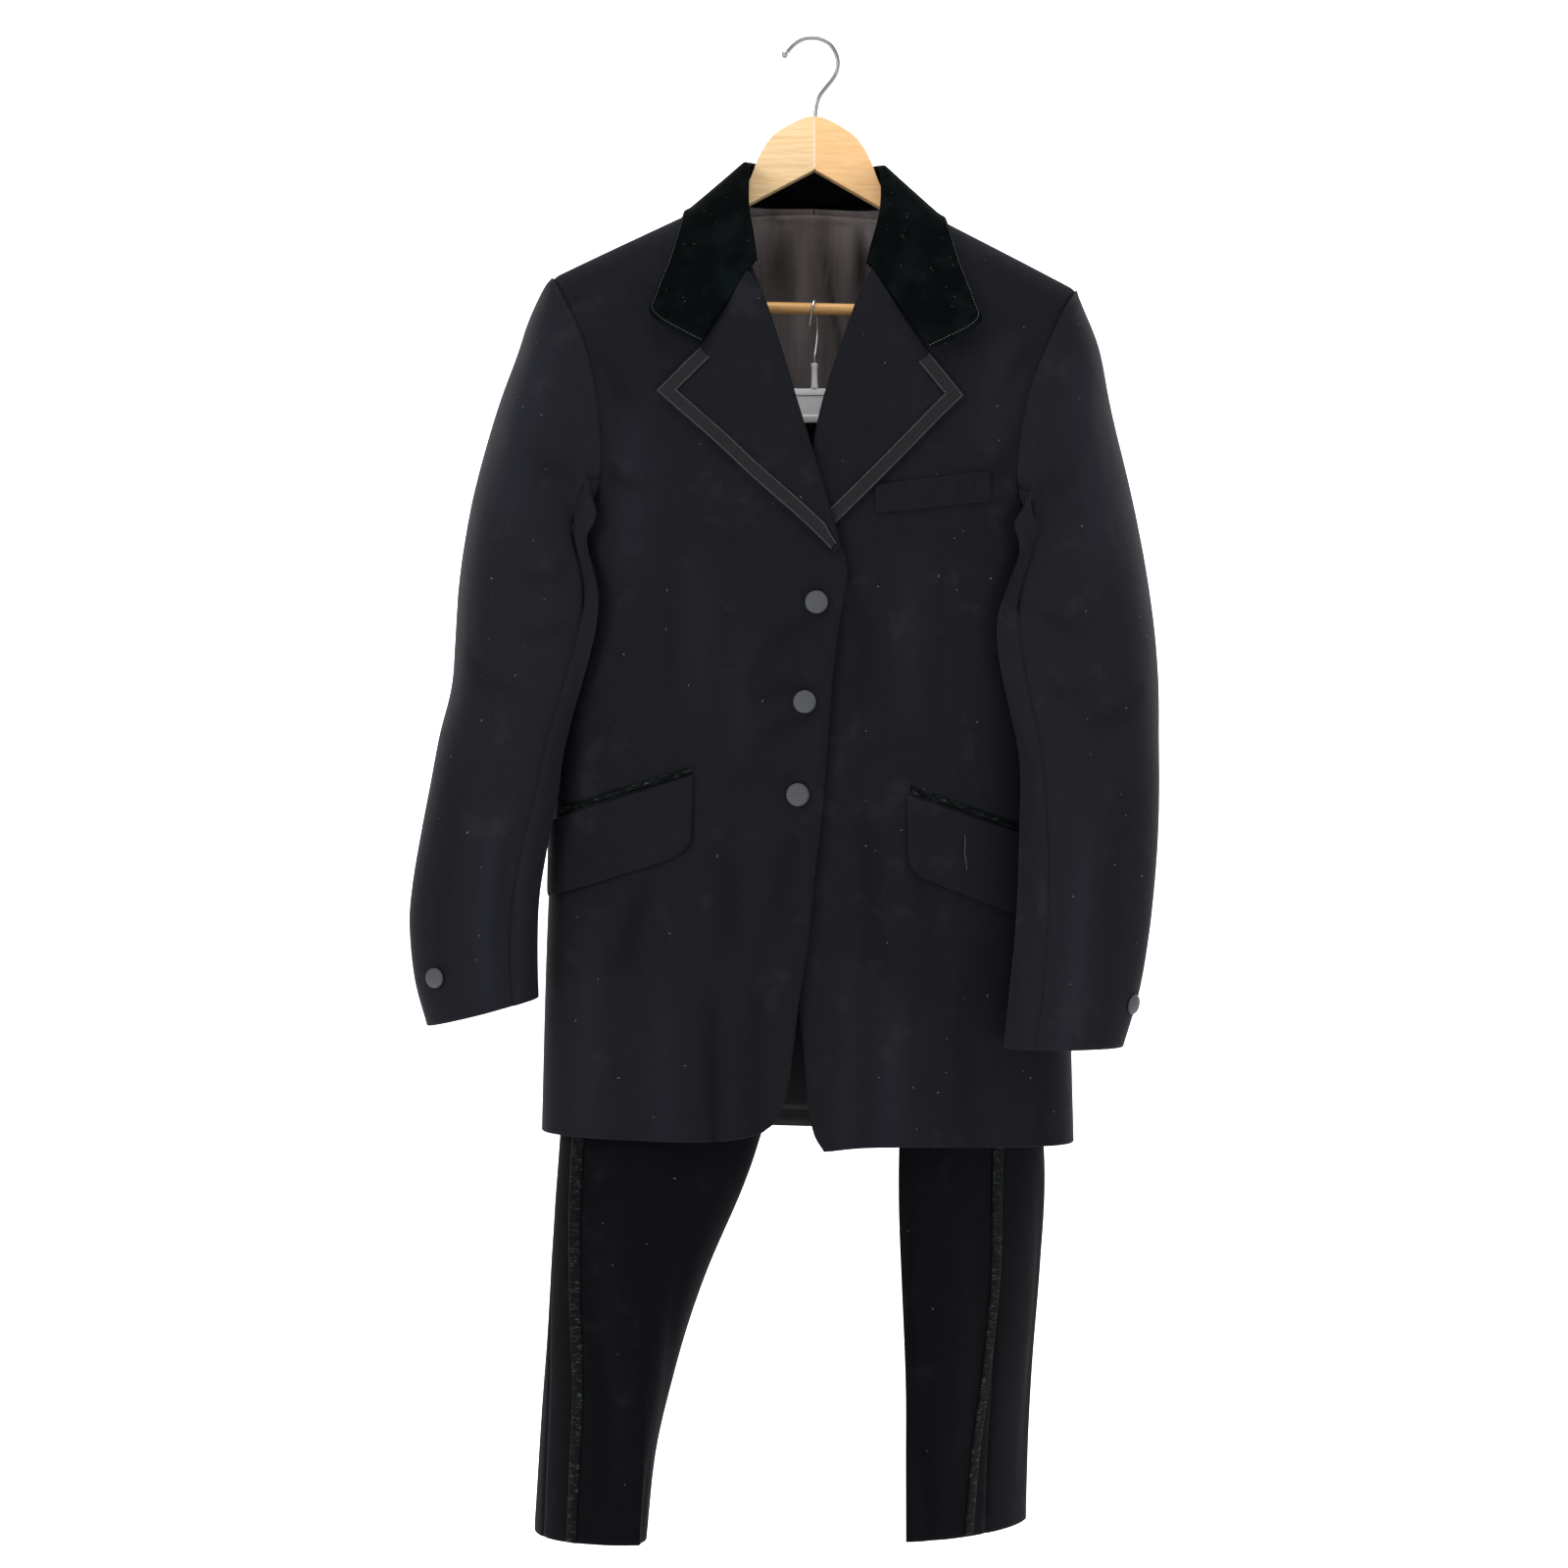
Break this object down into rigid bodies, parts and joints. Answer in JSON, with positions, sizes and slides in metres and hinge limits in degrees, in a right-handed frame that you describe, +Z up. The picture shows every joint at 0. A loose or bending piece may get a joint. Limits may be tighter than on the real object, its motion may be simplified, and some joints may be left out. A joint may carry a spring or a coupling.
{
  "type": "tuxedo on a hanger",
  "caption": "Black tuxedo on a wooden hanger: long open jacket with velvet collar, braided notch lapels and flap pockets, over striped trousers on a clip hanger.",
  "frame": {"origin": "inner top of the hanger hook's bend, where it rests on a rail or pin", "axes": "+Z up, +X to the wearer's left, the jacket's front faces -Y"},
  "size_m": [0.6525, 0.208, 1.3319],
  "materials": {
    "wool": "matte fine wool twill",
    "velvet": "deep matte pile",
    "lining": "soft satin",
    "satin": "satin",
    "braid": "ribbed matte braid",
    "faille": "ribbed semi-matte",
    "wood": "clear satin lacquer",
    "hook_steel": "polished",
    "white_plastic": "smooth"
  },
  "bodies": {
    "root": {"front_right": "wool", "front_left": "wool", "back_right": "wool", "back_left": "wool", "back_lining": "lining", "top_sleeve_right": "wool", "top_sleeve_left": "wool", "under_sleeve_right": "wool", "under_sleeve_left": "wool", "lapel_right": "wool", "lapel_left": "wool", "lapel_braid_right": "braid", "lapel_braid_left": "braid", "flap_right": "wool", "flap_left": "wool", "flap_piping_right": "satin", "flap_piping_left": "satin", "breast_welt": "wool", "collar": "velvet", "cuff_button_right": "faille", "cuff_button_left": "faille", "front_button_1": "faille", "front_button_2": "faille", "front_button_3": "faille", "waistband": "wool", "trouser_front_right": "wool", "trouser_front_left": "wool", "trouser_back_right": "wool", "trouser_back_left": "wool", "trouser_stripe_right": "satin", "trouser_stripe_left": "satin", "hanger_arm_right": "wood", "hanger_arm_left": "wood", "hanger_bar": "wood", "hanger_hook": "hook_steel", "hanger_hook_tip": "hook_steel", "clip_hanger_hook": "hook_steel", "clip_hanger_stem": "white_plastic", "clip_hanger_plate": "white_plastic", "trouser_clip_right": "hook_steel", "trouser_clip_left": "hook_steel"}
  },
  "joints": []
}
